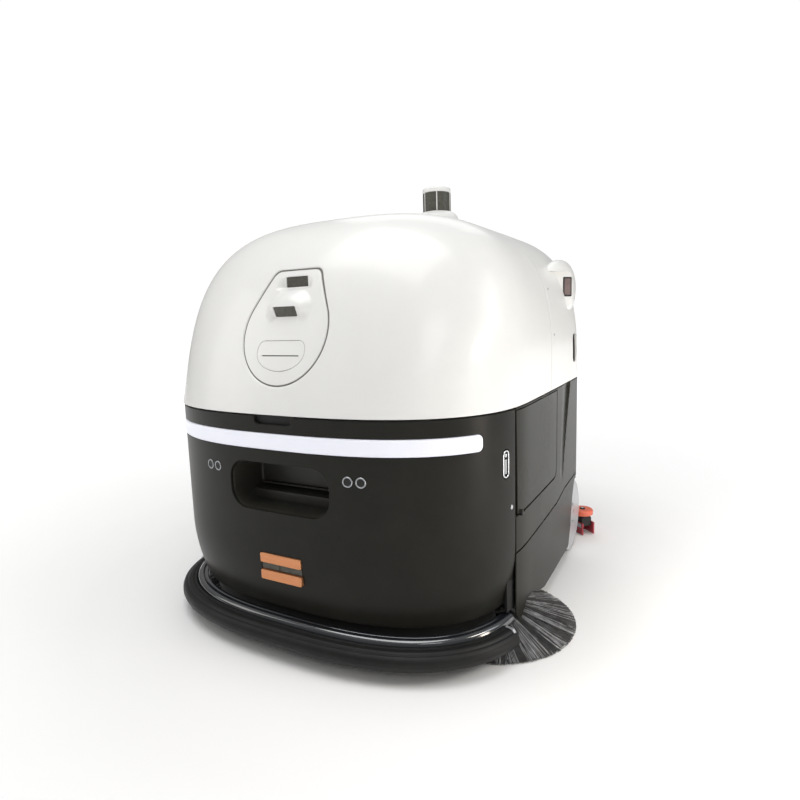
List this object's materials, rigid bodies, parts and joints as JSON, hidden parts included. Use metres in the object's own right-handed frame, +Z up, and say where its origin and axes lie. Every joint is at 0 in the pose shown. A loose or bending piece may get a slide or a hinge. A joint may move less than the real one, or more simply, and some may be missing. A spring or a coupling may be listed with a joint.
{
  "type": "robotic floor cleaner",
  "caption": "Self-driving floor scrubbing robot: white domed hood over a black body, wrap-round bumper, side brushes, scrub deck and curved rear squeegee.",
  "frame": {"origin": "on the floor, under the middle of the machine including its brushes, bumper and squeegee", "axes": "+Z up, -Y the way the machine drives, +X the machine's left"},
  "size_m": [0.914, 0.92, 0.937],
  "materials": {
    "white_shell": "satin moulded shell",
    "black_shell": "semi-gloss painted shell",
    "dark_plastic": "fine moulded grain",
    "gloss_black": "polished",
    "rubber": "matte",
    "tyre": "matte",
    "frame_steel": "satin powder coat",
    "silver_plastic": "satin silver",
    "copper": "brushed copper",
    "light_diffuser": "frosted",
    "bristle": "stiff nylon filaments",
    "roller_red": "satin",
    "blade_red": "satin",
    "tank_plastic": "rotomoulded",
    "battery_case": "satin",
    "control_case": "satin",
    "dark_glass": "polished window",
    "button_red": "satin",
    "chrome": "polished"
  },
  "bodies": {
    "chassis": {"front_shell": "black_shell", "light_strip": "light_diffuser", "docking_recess": "dark_plastic", "upper_charging_contact": "copper", "lower_charging_contact": "copper", "toe_panel": "dark_plastic", "left_skirt": "black_shell", "right_skirt": "black_shell", "left_side_panel": "black_shell", "right_side_panel": "black_shell", "rear_panel": "black_shell", "rear_shell": "white_shell", "touch_screen": "dark_glass", "scanner_window": "dark_glass", "scanner_cap": "white_shell", "chassis_frame": "frame_steel", "battery_pack": "battery_case", "solution_tank": "tank_plastic", "controller_box": "control_case", "vacuum_motor": "dark_plastic", "recovery_tank": "tank_plastic", "recovery_tank_lid": "dark_plastic", "suction_hose": "rubber", "left_drive_motor": "frame_steel", "right_drive_motor": "frame_steel"},
    "hood": {"hood": "white_shell", "camera_panel": "white_shell", "upper_camera": "dark_glass", "lower_camera": "dark_glass", "oval_plate": "white_shell", "hinge_frame": "frame_steel"},
    "left_door": {"left_door": "black_shell"},
    "right_door": {"right_door": "black_shell"},
    "left_latch": {"left_door_latch": "chrome"},
    "right_latch": {"right_door_latch": "chrome"},
    "bumper": {"bumper": "rubber", "bumper_rail": "gloss_black"},
    "left_brush_lift": {"left_side_brush_motor": "dark_plastic"},
    "right_brush_lift": {"right_side_brush_motor": "dark_plastic"},
    "left_side_brush": {"left_side_brush": "bristle"},
    "right_side_brush": {"right_side_brush": "bristle"},
    "left_wheel": {"left_tyre": "tyre", "left_wheel_hub": "silver_plastic"},
    "right_wheel": {"right_tyre": "tyre", "right_wheel_hub": "silver_plastic"},
    "left_caster": {"left_caster_fork": "frame_steel"},
    "right_caster": {"right_caster_fork": "frame_steel"},
    "left_caster_wheel": {"left_caster_wheel": "rubber"},
    "right_caster_wheel": {"right_caster_wheel": "rubber"},
    "scrub_deck": {"scrub_deck": "frame_steel"},
    "front_scrub_brush": {"front_scrub_brush": "bristle"},
    "rear_scrub_brush": {"rear_scrub_brush": "bristle"},
    "squeegee": {"squeegee_frame": "dark_plastic", "squeegee_front_blade": "blade_red", "squeegee_rear_blade": "blade_red"},
    "left_squeegee_roller": {"left_squeegee_roller": "roller_red"},
    "right_squeegee_roller": {"right_squeegee_roller": "roller_red"},
    "scanner_rotor": {"scanner_rotor": "dark_plastic"},
    "emergency_stop": {"emergency_stop": "button_red"},
    "power_button": {"power_button": "silver_plastic"}
  },
  "joints": [
    {"name": "hood_hinge", "type": "hinge", "parent": "chassis", "child": "hood", "pos_m": [0, 0.03, 0.796], "axis": [-1, 0, 0], "range_deg": [0, 62]},
    {"name": "left_door_hinge", "type": "hinge", "parent": "chassis", "child": "left_door", "pos_m": [0.3699, 0.071, 0.34], "axis": [0, 0, 1], "range_deg": [0, 95]},
    {"name": "left_latch_press", "type": "slide", "parent": "chassis", "child": "left_latch", "axis": [-1, 0, 0], "range_m": [0, 0.004], "stiffness_N_per_m": 800},
    {"name": "left_brush_lift", "type": "slide", "parent": "chassis", "child": "left_brush_lift", "axis": [0, 0, 1], "range_m": [0, 0.01]},
    {"name": "left_brush_spin", "type": "hinge", "parent": "left_brush_lift", "child": "left_side_brush", "pos_m": [0.291, -0.146, 0.04], "axis": [0, 0, 1], "continuous": true},
    {"name": "left_wheel_spin", "type": "hinge", "parent": "chassis", "child": "left_wheel", "pos_m": [0.343, 0.26, 0.092], "axis": [1, 0, 0], "continuous": true},
    {"name": "left_caster_swivel", "type": "hinge", "parent": "chassis", "child": "left_caster", "pos_m": [0.095, -0.286, 0.11], "axis": [0, 0, 1], "continuous": true},
    {"name": "left_caster_spin", "type": "hinge", "parent": "left_caster", "child": "left_caster_wheel", "pos_m": [0.095, -0.264, 0.042], "axis": [1, 0, 0], "continuous": true},
    {"name": "right_door_hinge", "type": "hinge", "parent": "chassis", "child": "right_door", "pos_m": [-0.3699, 0.071, 0.34], "axis": [0, 0, -1], "range_deg": [0, 95]},
    {"name": "right_latch_press", "type": "slide", "parent": "chassis", "child": "right_latch", "axis": [1, 0, 0], "range_m": [0, 0.004], "stiffness_N_per_m": 800},
    {"name": "right_brush_lift", "type": "slide", "parent": "chassis", "child": "right_brush_lift", "axis": [0, 0, 1], "range_m": [0, 0.01]},
    {"name": "right_brush_spin", "type": "hinge", "parent": "right_brush_lift", "child": "right_side_brush", "pos_m": [-0.291, -0.146, 0.04], "axis": [0, 0, 1], "continuous": true},
    {"name": "right_wheel_spin", "type": "hinge", "parent": "chassis", "child": "right_wheel", "pos_m": [-0.343, 0.26, 0.092], "axis": [1, 0, 0], "continuous": true},
    {"name": "right_caster_swivel", "type": "hinge", "parent": "chassis", "child": "right_caster", "pos_m": [-0.095, -0.286, 0.11], "axis": [0, 0, 1], "continuous": true},
    {"name": "right_caster_spin", "type": "hinge", "parent": "right_caster", "child": "right_caster_wheel", "pos_m": [-0.095, -0.264, 0.042], "axis": [1, 0, 0], "continuous": true},
    {"name": "bumper_press", "type": "slide", "parent": "chassis", "child": "bumper", "axis": [0, 1, 0], "range_m": [0, 0.01], "stiffness_N_per_m": 4000},
    {"name": "scrub_deck_lift", "type": "slide", "parent": "chassis", "child": "scrub_deck", "axis": [0, 0, 1], "range_m": [0, 0.02]},
    {"name": "front_scrub_spin", "type": "hinge", "parent": "scrub_deck", "child": "front_scrub_brush", "pos_m": [0, 0.074, 0.054], "axis": [1, 0, 0], "continuous": true},
    {"name": "rear_scrub_spin", "type": "hinge", "parent": "scrub_deck", "child": "rear_scrub_brush", "pos_m": [0, 0.186, 0.054], "axis": [1, 0, 0], "continuous": true},
    {"name": "squeegee_lift", "type": "slide", "parent": "chassis", "child": "squeegee", "axis": [0, 0, 1], "range_m": [0, 0.03], "deforming": ["suction_hose"]},
    {"name": "left_squeegee_roller_spin", "type": "hinge", "parent": "squeegee", "child": "left_squeegee_roller", "pos_m": [0.366, 0.382, 0.063], "axis": [0, 0, 1], "continuous": true},
    {"name": "right_squeegee_roller_spin", "type": "hinge", "parent": "squeegee", "child": "right_squeegee_roller", "pos_m": [-0.366, 0.382, 0.063], "axis": [0, 0, 1], "continuous": true},
    {"name": "scanner_spin", "type": "hinge", "parent": "chassis", "child": "scanner_rotor", "pos_m": [0, 0.27, 0.9], "axis": [0, 0, 1], "continuous": true},
    {"name": "emergency_stop_press", "type": "slide", "parent": "chassis", "child": "emergency_stop", "axis": [0, -1, 0], "range_m": [0, 0.005], "stiffness_N_per_m": 900},
    {"name": "power_button_press", "type": "slide", "parent": "chassis", "child": "power_button", "axis": [0, -1, 0], "range_m": [0, 0.003], "stiffness_N_per_m": 600}
  ],
  "couplings": [
    {"joint": "rear_scrub_spin", "follows": "front_scrub_spin", "ratio": -1}
  ]
}
